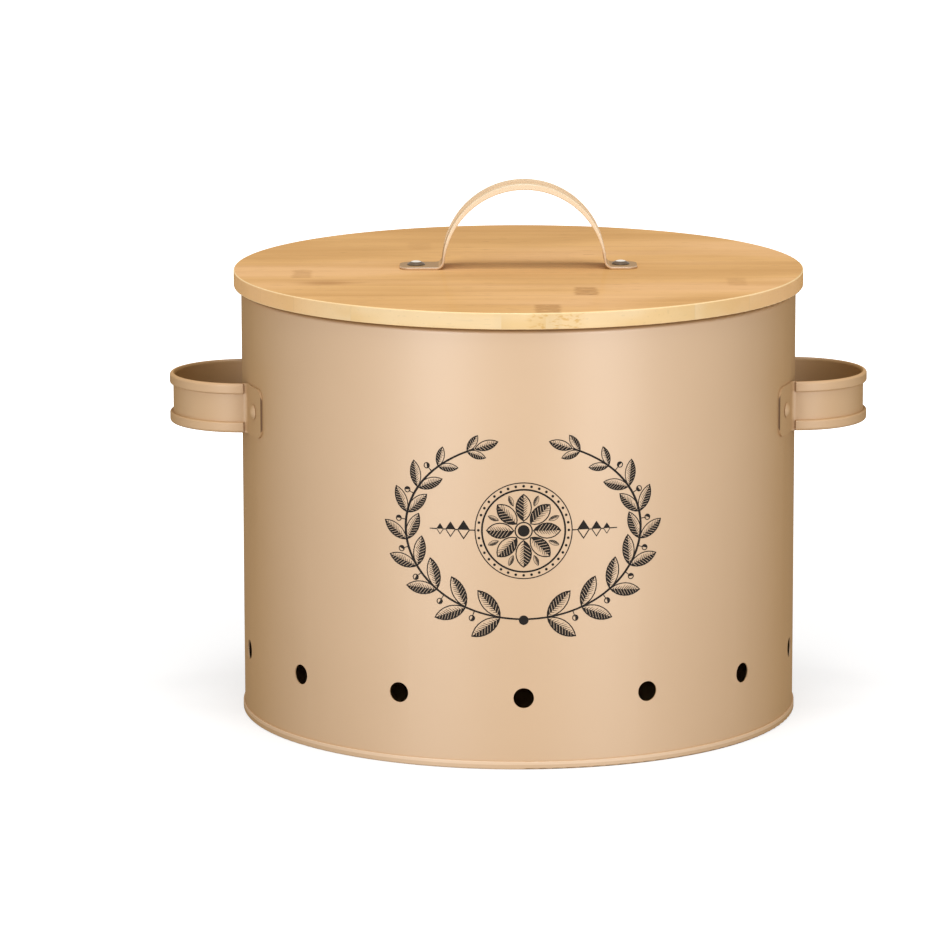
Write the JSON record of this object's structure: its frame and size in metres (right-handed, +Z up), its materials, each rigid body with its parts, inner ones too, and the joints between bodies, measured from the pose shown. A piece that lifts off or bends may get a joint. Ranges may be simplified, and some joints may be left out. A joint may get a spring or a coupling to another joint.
{
  "type": "storage bin",
  "caption": "Round painted sheet-steel storage bin with a lift-off bamboo lid, an arched strap handle on the lid, strap handles on the sides and air vents low in the wall.",
  "frame": {"origin": "centre of the bin's footprint, on the surface it stands on", "axes": "+Z up the bin's axis, +X towards the right-hand side handle, -Y towards the printed front"},
  "size_m": [0.2826, 0.23, 0.2156],
  "materials": {
    "body_paint": "satin",
    "bamboo": "satin",
    "rivet_steel": "polished",
    "seal_silicone": "matte",
    "print_ink": "matte"
  },
  "bodies": {
    "bin": {"body_shell": "body_paint", "base_plate": "body_paint", "side_handle_left": "body_paint", "side_handle_right": "body_paint", "side_rivet_left_front": "body_paint", "side_rivet_left_back": "body_paint", "side_rivet_right_front": "body_paint", "side_rivet_right_back": "body_paint"},
    "lid": {"lid_board": "bamboo", "lid_plug": "bamboo", "lid_seal_ring": "seal_silicone", "lid_handle": "body_paint", "lid_rivet_left": "rivet_steel", "lid_rivet_right": "rivet_steel", "lid_washer_left": "rivet_steel", "lid_washer_right": "rivet_steel"}
  },
  "joints": [
    {"name": "lid_lift", "type": "slide", "parent": "bin", "child": "lid", "axis": [0, 0, 1], "range_m": [0, 0.12]}
  ]
}
